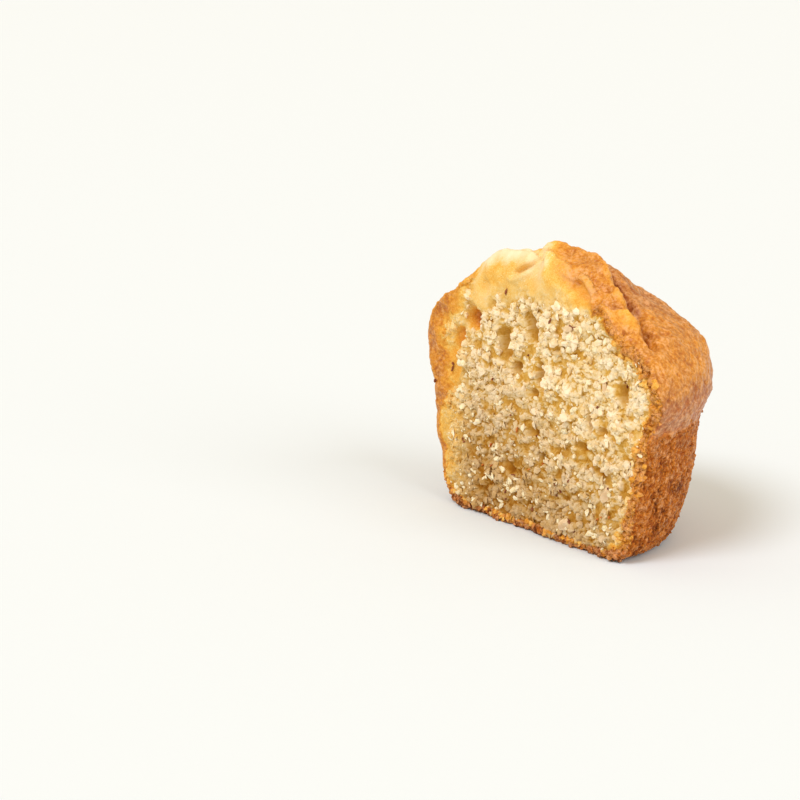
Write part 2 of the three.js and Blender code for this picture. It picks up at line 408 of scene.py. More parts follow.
def crumbRelief(x, z):
    # Raised flakes over lower, yellower crumb: the height and how much of a flake it is.
    heap = ripple((x, 0, z), 3.4, 33) + 0.5 * ripple((x, 0, z), 1.5, 34)
    ragged = Vector((ripple((x, 0, z), 0.6, 41), 0, ripple((x, 0, z), 0.6, 42)))
    height, flake = 0.3 * heap, 0
    for size, rise, seed in ((1.7, 0.36, 1), (0.9, 0.26, 2)):
        spot = (Vector((0.65 * x, 0, z)) + 0.35 * ragged) / size + Vector((seed, seed, seed))
        away, centres = noise.voronoi(spot)
        lean = noise.cell_vector(centres[0] * 41)
        plate = ease(lean.z + 0.35 * heap, 0.46, 0.56) * ease(away[1] - away[0], 0.02, 0.12)
        height += rise * plate * (1 + (spot - centres[0]).dot(lean - Vector((0.5, 0.5, 0.5))))
        flake = max(flake, plate * (0.6 + 0.4 * lean.x))
    return height - 0.25, flake


# How far each place is baked, from 0 for crumb to 1 for the darkest crust; in the cracks it also
# holds painted shadow and at the far end painted glow.
browning = dict(
    wall=0.81, wallPatch=0.08, underRim=0.05, foot=0.14, lip=0.62, dome=0.49,
    golden=0.26,  # the strip beside the cut at the far end, browned and partly a painted glow of backlight through the thin edge
    topDough=0.03, lobe=0.30, nearShoulder=0.10, inCrack=0.85,
    cutEdge=0.44, cutFoot=0.5, farCrumb=0.11, cream=0.13,
)


def bakeOutside(place):
    x, y, z = place
    mottle, speckle = ripple(place, 4.5, 12), ripple(place, 1.7, 13)
    rim = rimLine(x)
    patch = ease(ripple(place, 6.5, 14), 0.05, 0.45)
    wall = browning["wall"] + 0.10 * mottle - browning["wallPatch"] * patch
    wall -= browning["underRim"] * ease(z, rim - 9, rim - 0.5)
    wall += browning["foot"] * (1 - ease(z, 0.6, 3.0))
    onLip = ease(z, rim - 0.4, rim + 1.0)
    value = wall + (browning["lip"] + 0.05 * mottle - wall) * onLip
    dome = browning["dome"] + 0.08 * mottle + 0.05 * speckle
    value += (dome - value) * ease(z, rim + 3.5, rim + 10)
    onTop = ease(z, 43, 49)
    blend = 1.6 * ripple(place, 2.4, 20)
    # Orange strip beside the cut at the far end: browned crust, partly a painted glow of backlight
    # through the thin edge.
    golden = ease(-x, 17, 25) * (1 - ease(y + blend, 2.5, 9)) * ease(z, 2, 6)
    value += (browning["golden"] + 0.08 * mottle + 0.05 * speckle - value) * golden
    pale = onTop * (1 - ease(y + 0.3 * x + blend, 1.5, 10.5))
    pale = pale * (1 - ease(x + blend, -2, 15)) * ease(x, -27, -17)
    value += (browning["topDough"] - value) * pale
    lobe = ease(z, 38, 46) * math.exp(-((x - 13) / 10) ** 2 - ((y - 2) / 5) ** 2)
    value += (browning["lobe"] + 0.12 * ripple(place, 2.6, 30) - value) * 0.85 * lobe
    value -= browning["nearShoulder"] * ease(x, 16, 24) * ease(z, rim + 5, rim + 11)
    depth, inside, tint = crackDepth(x, y)
    # Rolled crust in front of a crack is painted paler, a painted highlight.
    value += 0.09 * onTop * min(depth, 0)
    # Inside the split and its folds the tint is a painted shadow; in the cleft it is the dough's
    # own pale colour.
    return value + (tint - value) * browning["inCrack"] * onTop * inside


def bakeAtCut(x, z):
    return bakeOutside(Vector((x, form["cutPlane"], z)))


def bakeCut(x, z, depth, dough, crust):
    # The cut is browned in a band inside its edge, which is wider at the far and near ends; at the
    # far end the band is wider and more orange, partly a painted glow of backlight through the thin
    # edge.
    jitter = ripple((x, 0, z), 1.7, 15) + 0.6 * ripple((x, 0, z), 0.7, 16)
    base = 1 - ease(z, 0.2, 3.4)
    far = ease(-x, 17, 28) * (1 - 0.3 * ease(z, 42, 48))
    near = ease(x, 16, 26) * (1 - base)
    peach = far * ease(z, 18, 26) * (1 - ease(z, 40, 46))
    band = 1.6 + 2.6 * near + 2.2 * far + 4.5 * peach
    rim = 1 - ease(depth + 1.3 * jitter, 0.3 * band, band)
    patch = ease(ripple((x, 0, z), 2.8, 17), -0.1, 0.35)
    value = rim * (0.2 + 0.14 * near + 0.14 * far + 0.08 * patch + 0.5 * base)
    value = max(value, browning["farCrumb"] * far)
    cream = browning["cream"] + 0.05 * ripple((x, 0, z), 4, 18) + 0.08 * ease(x, 2, 14)
    cream += (crust - cream) * (1 - ease(depth + 0.7 * jitter, 0.6, 3.6))
    value += (cream - value) * dough
    lobe = lobeShare(x, z)
    edgeWidth = 1.0 + 0.5 * near + 0.9 * lobe
    edge = 1 - ease(depth + (0.6 - 0.2 * lobe) * jitter, 0.1 + 0.7 * lobe, edgeWidth)
    edgeBake = browning["cutEdge"] + browning["cutFoot"] * base - 0.14 * far - 0.12 * near
    return value + (min(crust, edgeBake) - value) * edge


def crumbTone(x, z, height, flake):
    # Proud flakes are light, partly their own whitish colour and partly a painted highlight; low
    # crumb is darker, a painted shade in its pits, and the crumb is darker towards the base, a
    # painted shade.
    low = 1 - ease(z + 0.25 * x, -4, 26)
    return 0.43 + 0.25 * height + 0.40 * flake - 0.06 * low


# Crumbs and flakes: few-faced lumps, each with its own bake and tone.
crumbForm = dict(kinds=18, uneven=0.75, unevenSize=0.7, torn=0.8)


def crumbShape(seed, flat):
    bm = bmesh.new()
    if flat:
        bmesh.ops.create_cone(
            bm, cap_ends=True, segments=6, radius1=1, radius2=0.6, depth=1.0,
            matrix=Matrix.Rotation(math.radians(90), 4, "X"))
    else:
        bmesh.ops.create_icosphere(bm, subdivisions=1, radius=1)
    for point in bm.verts:
        point.co *= 1 + crumbForm["uneven"] * ripple(point.co, crumbForm["unevenSize"], seed)
    mesh = bpy.data.meshes.new("crumbShape")
    bm.to_mesh(mesh)
    bm.free()
    return mesh


crumbShapes = [crumbShape(3.1 * i, i % 3 > 0) for i in range(crumbForm["kinds"])]


def anyTurn():
    return Matrix.Rotation(chance.uniform(0, 6.28), 4, Vector((
        chance.uniform(-1, 1), chance.uniform(-1, 1), chance.uniform(-1, 1) + 0.01)))


def flatTurn(spread):
    # A flake that lies on the cut, tipped a little to any side.
    tipped = Matrix.Rotation(chance.gauss(0, spread), 4, "X")
    tipped = tipped @ Matrix.Rotation(chance.gauss(0, spread), 4, "Z")
    return tipped @ Matrix.Rotation(chance.uniform(0, 6.28), 4, "Y")


def makeHeap(name, crumbs):
    # crumbs: place, size on each axis, turn, bake, tone
    bm = bmesh.new()
    for place, size, turn, bake, tone in crumbs:
        mesh = chance.choice(crumbShapes)
        put = Matrix.Translation(place) @ turn @ Matrix.Diagonal((*size, 1))
        mesh.transform(put)
        bm.from_mesh(mesh)
        mesh.transform(put.inverted())
    piece = newPiece(name, bm)
    each = len(piece.data.vertices) // len(crumbs)
    looks = {
        "bake": [crumb[3] for crumb in crumbs], "tone": [crumb[4] for crumb in crumbs],
        "torn": [crumbForm["torn"]] * len(crumbs)}
    for key, values in looks.items():
        attribute = piece.data.attributes.new(key, "FLOAT", "POINT")
        attribute.data.foreach_set("value", [value for value in values for _ in range(each)])
    return piece


# The half as it was baked and cut, without its crumb face.
body = dict(
    voxel=0.37, most=198000,  # the remeshed grain, and the most triangles that are kept
    rimStep=-0.12, recess=1.3, doughRecess=0.5,  # how far behind the crumb face its cut lies
    cutter=dict(width=84, height=70, columns=150, rows=126, middle=31, reach=50),
    wallRelief=dict(flake=0.34, smallFlake=0.16, gap=0.26, lump=0.2),
    domeRelief=dict(lump=0.24, smallLump=0.22, pore=0.5, poreSpacing=3.1, streak=0.16),
    cutRelief=0.3,
    frontDepth=7,  # behind this nothing belongs to the cut
)


def bodyDepth(x, z):
    depth = underOutline(x, z)
    back = cutShape(x, z, depth)[0]
    dough = smoothDough(x, z)
    recess = body["recess"] + (body["doughRecess"] - body["recess"]) * dough
    return back + body["rimStep"] * (1 - dough) + recess * ease(depth, 0.5, 1.8 + dough)


def makeCutter():
    c = body["cutter"]
    bm = bmesh.new()
    bmesh.ops.create_grid(bm, x_segments=c["columns"], y_segments=c["rows"], size=0.5)
    bmesh.ops.scale(bm, verts=bm.verts, vec=(c["width"], c["height"], 1))
    bmesh.ops.rotate(bm, verts=bm.verts, matrix=Matrix.Rotation(math.radians(90), 3, "X"))
    bmesh.ops.translate(bm, verts=bm.verts, vec=(0, 0, c["middle"]))
    face = bm.verts[:]
    block = bmesh.ops.extrude_face_region(bm, geom=bm.faces[:])
    front = [item for item in block["geom"] if isinstance(item, bmesh.types.BMVert)]
    bmesh.ops.translate(bm, verts=front, vec=(0, -c["reach"], 0))
    for point in face:
        point.co.y = bodyDepth(point.co.x, point.co.z)
    bmesh.ops.recalc_face_normals(bm, faces=bm.faces)
    return newPiece("cutter", bm)


def wallShift(place):
    # Crumbs that the tin tore from the wall leave it flaky.
    x, y, z = place
    relief = body["wallRelief"]
    flake, gap = flakeRelief((x, y, 0.62 * z), 1.15, 7)
    small = flakeRelief((x, y, 0.8 * z), 0.7, 8)[0]
    return (relief["flake"] * flake + relief["smallFlake"] * small - relief["gap"] * gap
            + relief["lump"] * ripple(place, 2.6, 21))


def domeShift(place):
    # Low lumps, pores and, on the very top, streaks where the crust stretched.
    x, y, z = place
    relief = body["domeRelief"]
    pores = noise.voronoi(place / relief["poreSpacing"] + Vector((5, 5, 5)))[0][0]
    streak = ripple((0.3 * x + 0.1 * y, y + 0.25 * x, z), 0.9, 24)
    lumps = relief["lump"] * ripple(place, 2.4, 23) + relief["smallLump"] * ripple(place, 1.0, 31)
    pits = relief["pore"] * max(0, 1 - pores / 0.2)
    return lumps - pits + relief["streak"] * streak * ease(z, 42, 48)


def roughenBody(bm):
    bake, tone, torn = (bm.verts.layers.float.new(name) for name in ("bake", "tone", "torn"))
    for point in bm.verts:
        place = point.co.copy()
        x, y, z = place
        depth = underSkin(place)
        inFront = y < body["frontDepth"]
        onCut = ease(depth, 0.3, 0.7) if inFront else 0
        rim = rimLine(x)
        wall = (1 - ease(z, rim - 0.8, rim + 0.4)) * (1 - onCut)
        dome = (1 - wall) * (1 - onCut)
        dough = smoothDough(x, z) if inFront else 0
        crust = bakeOutside(place)
        shift = 0
        if wall > 0:
            shift += wall * wallShift(place)
        if dome > 0:
            shift += dome * domeShift(place)
        if onCut > 0:
            shift += onCut * (1 - dough) * body["cutRelief"] * ripple(place, 1.0, 25)
        shift *= ease(z, 0.02, 0.8)  # the base stays flat
        point.co = place + point.normal * shift
        point.co.z = max(point.co.z, 0)
        cutBake = bakeCut(x, z, depth, dough, crust) if onCut else 0
        point[bake] = crust + (cutBake - crust) * onCut
        pale = (1 - ease(crust, 0.03, 0.2)) * (1 - onCut)
        # Raised places get a lighter tone and low ones a darker, a painted highlight and shade;
        # pale crust and dough get a lighter tone for their own cream colour.
        point[tone] = clamp(0.5 + shift * 1.3 + 0.4 * max(pale, dough * onCut))
        point[torn] = max(0.9 * wall, 0.5 * onCut * (1 - dough))


def makeBody():
    piece = newPiece("bakedHalf", outsideForm)
    cutter = makeCutter()
    modifier = piece.modifiers.new("cut", "BOOLEAN")
    modifier.operation = "DIFFERENCE"
    modifier.solver = "MANIFOLD"
    modifier.object = cutter
    applyModifiers(piece)
    bpy.data.objects.remove(cutter)
    modifier = piece.modifiers.new("remesh", "REMESH")
    modifier.mode = "VOXEL"
    modifier.voxel_size = body["voxel"]
    applyModifiers(piece)
    if countTriangles(piece) > body["most"]:
        modifier = piece.modifiers.new("thin", "DECIMATE")
        modifier.ratio = body["most"] / countTriangles(piece)
        applyModifiers(piece)
    bm = bmesh.new()
    bm.from_mesh(piece.data)
    roughenBody(bm)
    bm.to_mesh(piece.data)
    bm.free()
    return piece


bakedHalf = makeBody()
print("baked half made")

# The crumb that the cut laid open.
crumb = dict(
    width=74, height=60, pitch=0.205,
    least=0.14,  # how far inside the skin it begins
    back=4.8, taper=0.9, middle=28,  # its skirt narrows to the back about this height
    hollowTone=0.30, doughTone=0.92,
)


def makeCrumbFace():
    bm = bmesh.new()
    bmesh.ops.create_grid(
        bm, x_segments=round(crumb["width"] / crumb["pitch"]),
        y_segments=round(crumb["height"] / crumb["pitch"]), size=0.5)
    bmesh.ops.scale(bm, verts=bm.verts, vec=(crumb["width"], crumb["height"], 1))
    bmesh.ops.rotate(bm, verts=bm.verts, matrix=Matrix.Rotation(math.radians(90), 3, "X"))
    bmesh.ops.translate(bm, verts=bm.verts, vec=(0, 0, crumb["height"] / 2))
    below, bake, tone, torn = (
        bm.verts.layers.float.new(name) for name in ("below", "bake", "tone", "torn"))
    for point in bm.verts:
        point[below] = underOutline(point.co.x, point.co.z)
    outer = [point for point in bm.verts if point[below] < crumb["least"]]
    bmesh.ops.delete(bm, geom=outer, context="VERTS")
    for point in bm.verts:
        x, z = point.co.x, point.co.z
        back, smooth, tint, dark = cutShape(x, z, point[below])
        height, flake = crumbRelief(x, z)
        dough = smoothDough(x, z)
        soft = (0.45 * ripple((x, 3, z), 4.2, 26) + 0.25 * ripple((x, 3, z), 1.9, 28)) * dough
        point.co.y = min(back - height * (1 - smooth) - soft, crumb["back"] - 0.3)
        value = bakeCut(x, z, point[below], dough, bakeAtCut(x, z))
        inHollow = smooth * (1 - dough)
        point[bake] = max(value, tint * inHollow)
        level = crumbTone(x, z, height, flake)
        # Raised lumps of the dough get a lighter tone, a painted highlight; further below the
        # outline the dough is less cream.
        doughTone = crumb["doughTone"] + 0.5 * soft - 0.25 * ease(point[below], 1, 5)
        level += (doughTone - level) * dough
        # Inside a hollow the tone drops further towards its right side, a painted shadow.
        point[tone] = clamp(level + (crumb["hollowTone"] - 0.3 * dark - level) * inHollow)
        point[torn] = 1 - smooth
    bm.verts.layers.float.remove(below)
    rim = [edge for edge in bm.edges if edge.is_boundary]
    skirt = bmesh.ops.extrude_edge_only(bm, edges=rim)["geom"]
    for item in skirt:
        if isinstance(item, bmesh.types.BMVert):
            height = crumb["middle"] + crumb["taper"] * (item.co.z - crumb["middle"])
            item.co = Vector((crumb["taper"] * item.co.x, crumb["back"], height))
    bmesh.ops.holes_fill(bm, edges=[edge for edge in bm.edges if edge.is_boundary])
    bmesh.ops.recalc_face_normals(bm, faces=bm.faces)
    return newPiece("crumbFace", bm)


crumbFace = makeCrumbFace()
print("crumb face made")

# Small flakes of torn crumb that stand out of that face.
chips = dict(count=2000, least=0.26, most=1.15, within=0.5, tip=0.5)


def makeChips():
    crumbs = []
    while len(crumbs) < chips["count"]:
        x, z = chance.uniform(-35, 35), chance.uniform(0.6, 58)
        depth = underOutline(x, z)
        if depth < chips["within"]:
            continue
        back, smooth = cutShape(x, z, depth)[:2]
        height = crumbRelief(x, z)[0]
        if smooth > chance.uniform(0.02, 0.4) or height < chance.uniform(-0.25, 0.25):
            continue
        size = chips["least"] + (chips["most"] - chips["least"]) * chance.random() ** 2.2
        place = (x, back - height + chance.uniform(-0.2, 0.25) * size, z)
        bake = bakeCut(x, z, depth, 0, 0.5)
        # crumbTone gives the chip the painted shade of the crumb under it.
        tone = crumbTone(x, z, height, 0.8) + chance.uniform(-0.1, 0.2)
        sizes = (size, size * chance.uniform(0.3, 0.6), size * chance.uniform(0.5, 1))
        crumbs.append((place, sizes, flatTurn(chips["tip"]), bake, clamp(tone)))
    return makeHeap("crumbChips", crumbs)


crumbChips = makeChips()
print("crumb chips made")

# Crumbs along the edge of the cut and on the wall.
rimCrumbs = dict(
    edge=260, base=520, wall=120,  # how many
    least=0.3, more=0.7, edgeBand=3.2, baseBand=1.7,  # how far inside the outline
    baseBake=0.22,
)


def makeRimCrumbs():
    crumbs = []
    for i in range(rimCrumbs["edge"] + rimCrumbs["base"]):
        onBase = i >= rimCrumbs["edge"]
        angle = chance.uniform(-2.40, -0.70) if onBase else chance.uniform(-0.8, 3.9)
        spot, normal = outlinePoint(angle)
        if spot is None:
            continue
        inward = chance.uniform(0.0, rimCrumbs["baseBand"] if onBase else rimCrumbs["edgeBand"])
        spot = spot - normal * inward
        x, z = spot.x, spot.z
        if (x < 0 and not onBase) or (x > 3 and z > 40):
            continue
        size = rimCrumbs["least"] + rimCrumbs["more"] * chance.random() ** 2
        z = max(z, 0.8 * size)
        back = cutShape(x, z, inward)[0]
        place = (x, back + chance.uniform(-0.35, 0.4), z)
        bake = bakeCut(x, z, inward, 0, bakeAtCut(x, z)) + chance.uniform(-0.1, 0.1)
        bake += rimCrumbs["baseBake"] * onBase
        sizes = (size, size * chance.uniform(0.5, 1), size * chance.uniform(0.5, 1))
        crumbs.append((place, sizes, anyTurn(), max(bake, 0.03), chance.uniform(0.35, 0.9)))
    for i in range(rimCrumbs["wall"]):
        angle = chance.uniform(-0.02, math.pi + 0.02)
        height = chance.uniform(1, 30)
        spot, normal, index, away = skin.ray_cast(
            Vector((0, form["axis"], height)), Vector((math.cos(angle), math.sin(angle), 0)))
        if spot is None or spot.y < 0.4:
            continue
        size = chance.uniform(0.2, 0.45 + 0.2 * ease(spot.z, 18, 29))
        bake = bakeOutside(spot) - chance.uniform(0.02, 0.2)
        place = spot + normal * chance.uniform(-0.1, 0.25) * size
        sizes = (size, size * chance.uniform(0.5, 1), size * chance.uniform(0.5, 1))
        crumbs.append((place, sizes, anyTurn(), bake, chance.uniform(0.4, 0.8)))
    return makeHeap("edgeCrumbs", crumbs)


edgeCrumbs = makeRimCrumbs()
print("edge crumbs made")

# Whitish bits of ground almond.
meal = dict(count=540, least=0.3, most=1.15, within=1.2, tip=0.45)


def makeMeal():
    crumbs = []
    while len(crumbs) < meal["count"]:
        x, z = chance.uniform(-33, 33), chance.uniform(1.5, 52)
        depth = underOutline(x, z)
        back, smooth = cutShape(x, z, depth)[:2]
        if depth < meal["within"] or smooth > 0.15:
            continue
        if ripple((x, 0, z), 4.2, 35) < chance.uniform(-0.35, 0.25):
            continue
        size = meal["least"] + (meal["most"] - meal["least"]) * chance.random() ** 2.4
        place = (x, back - crumbRelief(x, z)[0] - chance.uniform(0.0, 0.3) * size, z)
        sizes = (size, size * chance.uniform(0.3, 0.55), size * chance.uniform(0.45, 0.85))
        crumbs.append((place, sizes, flatTurn(meal["tip"]), 0, 1))
    return makeHeap("almondMeal", crumbs)


almondMeal = makeMeal()
print("almond meal made")

# Chopped almond with its skin, and flecks of that skin.
almond = dict(
    places=[  # x, z, half width, half height, lean in degrees
        (22.7, 13.2, 1.15, 1.75, 12), (11.4, 4.4, 1.25, 1.55, 38), (21.4, 35.2, 0.55, 1.5, -16),
        (11.2, 45.0, 1.1, 0.7, 10),
    ],
    skin=0.16, proud=0.2, fleckProud=0.3, uneven=0.25,
    chopped=[(0.15, -1, 0.1), (-0.9, -0.3, 0.5), (0.3, 0.2, -0.9)],  # which ways its faces look
)
skinPlaces = [  # x, z, length, lean in degrees
    (-9.2, 49.2, 1.5, 15), (6.3, 45.7, 1.1, 20), (12.8, 45.4, 0.9, 70), (17.9, 48.3, 0.5, 0),
    (-6.8, 40.3, 0.7, 60), (-27.1, 29.8, 1.6, 25), (-26.7, 30.9, 0.8, -30), (-32.0, 26.3, 0.7, 10),
    (-13.2, 30.1, 0.8, 30), (-12.3, 33.5, 0.7, 70), (-2.7, 36.9, 0.4, 0), (26.0, 36.4, 1.0, 70),
    (25.6, 35.6, 0.9, 5), (0.2, 20.4, 0.6, 40), (13.4, 22.8, 0.5, 20), (-22.5, 15.2, 0.9, 0),
    (-21.9, 14.7, 0.6, 40), (-7.2, 23.4, 0.5, 30), (2.1, 16.9, 1.1, -30), (2.7, 15.4, 0.6, 10),
    (-6.1, 10.8, 1.3, 80), (-8.4, 6.6, 0.9, 10), (-7.8, 5.2, 0.7, 50), (0.3, 4.8, 0.8, -40),
    (8.2, 12.1, 0.8, 60), (12.4, 13.9, 1.1, 35), (9.2, 10.7, 0.8, -30), (29.6, 21.2, 1.0, 5),
    (8.0, 9.6, 0.6, 20), (13.9, 3.4, 0.8, 50), (19.6, 30.4, 0.5, 30),
]
toastedPlaces = [
    (-5.2, 20.8, 1.3, 20), (-13.8, 15.5, 1.0, 30), (-13.0, 11.3, 0.9, 60), (-16.3, 10.6, 0.8, 40),
    (-1.1, 13.1, 0.7, 70), (21.0, 7.9, 0.8, 60), (24.3, 9.1, 0.7, 30), (22.4, 8.7, 0.5, 80),
    (-13.4, 29.9, 0.6, 10), (2.8, 15.0, 0.5, 0),
]


def onCutFace(x, z, proud):
    back, smooth = cutShape(x, z, 5)[:2]
    return Vector((x, back - crumbRelief(x, z)[0] * (1 - smooth) - proud, z))


def addAlmond(bm, place, size, turn, grow):
    # An almond piece with three chopped faces; the skin is grown a little and chopped shorter.
    shape = bmesh.new()
    bmesh.ops.create_icosphere(shape, subdivisions=2, radius=1 + grow)
    for point in shape.verts:
        point.co *= 1 + almond["uneven"] * ripple(point.co, 1.1, 50)
    for side in almond["chopped"]:
        normal = Vector(side).normalized()
        bmesh.ops.bisect_plane(
            shape, geom=shape.verts[:] + shape.edges[:] + shape.faces[:],
            plane_co=normal * (0.6 - 1.5 * grow), plane_no=normal, clear_outer=True)
        bmesh.ops.holes_fill(shape, edges=[edge for edge in shape.edges if edge.is_boundary])
    bmesh.ops.recalc_face_normals(shape, faces=shape.faces)
    mesh = bpy.data.meshes.new("almond")
    shape.to_mesh(mesh)
    shape.free()
    mesh.transform(Matrix.Translation(place) @ turn @ Matrix.Diagonal((*size, 1)))
    bm.from_mesh(mesh)
    bpy.data.meshes.remove(mesh)


def makeAlmonds():
    kernels, skins = bmesh.new(), bmesh.new()
    for x, z, wide, high, lean in almond["places"]:
        turn = Matrix.Rotation(math.radians(lean), 4, "Y") @ Matrix.Rotation(0.5, 4, "Z")
        place = onCutFace(x, z, almond["proud"])
        addAlmond(kernels, place, (wide, 1.0, high), turn, 0)
        addAlmond(skins, place, (wide, 1.0, high), turn, almond["skin"])
    return newPiece("almondKernels", kernels), newPiece("almondSkins", skins)


def makeFlecks(name, places):
    crumbs = []
    for x, z, length, lean in places:
        turn = Matrix.Rotation(math.radians(lean), 4, "Y")
        place = onCutFace(x, z, almond["fleckProud"])
        crumbs.append((place, (0.2, 0.3, 0.6 * length), turn, 0, 0))
    return makeHeap(name, crumbs)


almondKernels, almondSkins = makeAlmonds()
skinFlecks = makeFlecks("skinFlecks", skinPlaces)
toastedFlecks = makeFlecks("toastedFlecks", toastedPlaces)
print("almonds made")


def linear(hexText):
    parts = [int(hexText[i:i + 2], 16) / 255 for i in (1, 3, 5)]
    return [c / 12.92 if c <= 0.04045 else ((c + 0.055) / 1.055) ** 2.4 for c in parts] + [1]


def addNode(material, kind, inputs=None, stops=None, **settings):
    node = material.node_tree.nodes.new(kind)
    for name, value in settings.items():
        setattr(node, name, value)
    for i, (place, colour) in enumerate(stops or ()):
        element = node.color_ramp.elements[i] if i < 2 else node.color_ramp.elements.new(place)
        element.position = place
        element.color = linear(colour)
    for name, value in (inputs or {}).items():
        if isinstance(value, bpy.types.NodeSocket):
            material.node_tree.links.new(value, node.inputs[name])
        else:
            node.inputs[name].default_value = value
    return node.outputs


def startMaterial(name):
    material = bpy.data.materials.new(name)
    material.use_nodes = True
    material.node_tree.nodes.clear()
    return material


# Baked almond sponge: whitish torn flakes over yellow crumb inside, and a sugar-browned crust
# outside. "bake" says how brown, "tone" how proud and "torn" how flaky a place is. Proud places are
# painted lighter and low ones darker, partly a painted highlight and shade; "bake" also carries
# painted shadow in the cracks and painted glow at the far end.
spongeLook = dict(
    crumb=[
        (0.0, "#94590f"), (0.2, "#be882c"), (0.4, "#d7ab56"), (0.6, "#e5c688"), (0.8, "#f2dcb2"),
        (1.0, "#fdeed2")],
    crust=[
        (0.0, "#f5e0b0"), (0.10, "#f0c66c"), (0.22, "#e6a640"), (0.34, "#d8902e"),
        (0.48, "#c0803c"), (0.62, "#ad6c3e"), (0.78, "#d88630"), (0.90, "#bc6e1e"),
        (1.0, "#743c0e")],
    waves=dict(  # per millimetre, detail, roughness, distortion
        patch=(0.32, 5, 0.6, 0),  # parts of the crumb and crust that browned more, 3 mm
        grain=(2.2, 4, 0.65, 0),  # grain of the crumb, 0.5 mm
        speckle=(3.6, 2, 0.7, 0),  # sugar specks, 0.3 mm
        fine=(1.3, 5, 0.7, 0),  # blotches of the crust, 0.8 mm
        lumpy=(0.85, 1.5, 0.5, 0),  # low lumps of the crust, 1.2 mm
        crinkle=(1.25, 3, 0.6, 1.4)),  # fine creases of the wall, 0.8 mm apart
    upright=(1, 1, 0.6),  # the creases of the wall run upwards
    flakes=dict(big=0.95, small=2.1),  # per millimetre: flakes of 1 mm and 0.5 mm
    steps=[  # name, what is worked out, and from what; RANGE has from and to after the value
        ("bigSwing", "RANGE", "bigShade", 0.25, 0.75, -0.07, 0.07),
        ("smallSwing", "RANGE", "smallShade", 0.25, 0.75, -0.06, 0.06),
        ("bothFlakes", "ADD", "bigSwing", "smallSwing"),
        ("flaky", "MULTIPLY", "bothFlakes", "torn"),
        ("patchSwing", "RANGE", "patch", 0.25, 0.75, -0.12, 0.12),
        ("grainSwing", "RANGE", "grain", 0.25, 0.75, -0.06, 0.06),
        ("crumbSum", "ADD", "tone", "patchSwing"),
        ("crumbSum", "ADD", "crumbSum", "flaky"),
        ("crumbLevel", "ADD", "crumbSum", "grainSwing"),
        ("patchBake", "RANGE", "patch", 0.25, 0.75, -0.05, 0.05),
        ("grainBake", "RANGE", "grain", 0.25, 0.75, -0.05, 0.05),
        ("crustSum", "ADD", "bake", "patchBake"),
        ("crustSum", "ADD", "crustSum", "grainBake"),
        ("lowBake", "RANGE", "tone", 0.1, 0.9, 0.17, -0.14),  # painted shade: pits are browner than lumps
        ("crustShare", "MULTIPLY", "bake", 0.9),
        ("relief", "MULTIPLY", "lowBake", "crustShare"),
        ("crustSum", "ADD", "crustSum", "relief"),
        ("speckleBake", "RANGE", "speckle", 0.25, 0.75, -0.09, 0.09),
        ("crustSum", "ADD", "crustSum", "speckleBake"),
        ("flakeBake", "MULTIPLY", "flaky", -0.45),
        ("crustLevel", "ADD", "crustSum", "flakeBake"),
        ("onCrust", "RANGE", "bake", 0.16, 0.34, 0, 1),
        # The blotches lean pale on raised places and deep in low ones through tone, partly a
        # painted highlight and shade; the fine noise gives the crust's own mottling.
        ("quarterTone", "MULTIPLY", "tone", 0.25),
        ("blotch", "ADD", "fine", "quarterTone"),
        ("blotch", "SUBTRACT", "blotch", 0.125),
        ("pale", "RANGE", "blotch", 0.5, 0.62, 0, 0.5),
        ("pale", "MULTIPLY", "pale", "onCrust"),
        ("deep", "RANGE", "blotch", 0.5, 0.36, 0, 0.55),
        ("deep", "MULTIPLY", "deep", "onCrust"),
        ("tornCrust", "MULTIPLY", "torn", "onCrust"),
        ("onWall", "RANGE", "tornCrust", 0.55, 0.85, 0, 1),
        # The fine creases of the wall are painted dark, a painted shade, and also dent the bump.
        ("crease", "SUBTRACT", "crinkle", 0.5),
        ("crease", "ABSOLUTE", "crease"),
        ("crease", "RANGE", "crease", 0, 0.07, 0.6, 0),
        ("crease", "MULTIPLY", "crease", "onWall"),
        ("slope", "MULTIPLY", "across", 0.35),
        ("slope", "ADD", "up", "slope"),
        ("shaded", "RANGE", "slope", 0, 34, 0.9, 0),  # painted shade: the crumb is darker towards the base and the far end
        ("inCrust", "RANGE", "bake", 0.01, 0.14, 0, 1),
        ("bigRelief", "MULTIPLY", "bigFlake", "torn"),
        ("smallRelief", "MULTIPLY", "smallFlake", "torn"),
        ("lumps", "MULTIPLY", "lumpy", "onCrust"),
        ("grainShine", "RANGE", "grain", 0.25, 0.75, -0.4, 0.4),
        ("rough", "ADD", "onCrust", "grainShine"),
        ("rough", "RANGE", "rough", 0, 1, 0.72, 0.34),
        ("shine", "SUBTRACT", "onCrust", "tornCrust"),
        ("shine", "RANGE", "shine", 0, 1, 0.08, 0.45)],
    held=("crumbLevel", "crustShare", "crustLevel"),  # kept between 0 and 1
    tints=[  # name, share, first colour, second colour, blend
        ("crust", "pale", "crust", "#f0b98a", "MIX"),
        ("crust", "deep", "crust", "#c8802e", "MULTIPLY"),
        ("crust", "crease", "crust", "#a0602c", "MULTIPLY"),
        ("crumb", "shaded", "crumb", "#c4ac8a", "MULTIPLY"),
        ("colour", "inCrust", "crumb", "crust", "MIX")],
    bumps=[  # height, strength, depth in metres, whether it goes in
        ("bigRelief", 0.3, 0.0005, False), ("smallRelief", 0.2, 0.0005, False),
        ("grain", 0.3, 0.0002, False), ("lumps", 0.8, 0.0007, False),
        ("crease", 0.5, 0.0003, True)],
    ior=1.42,
)


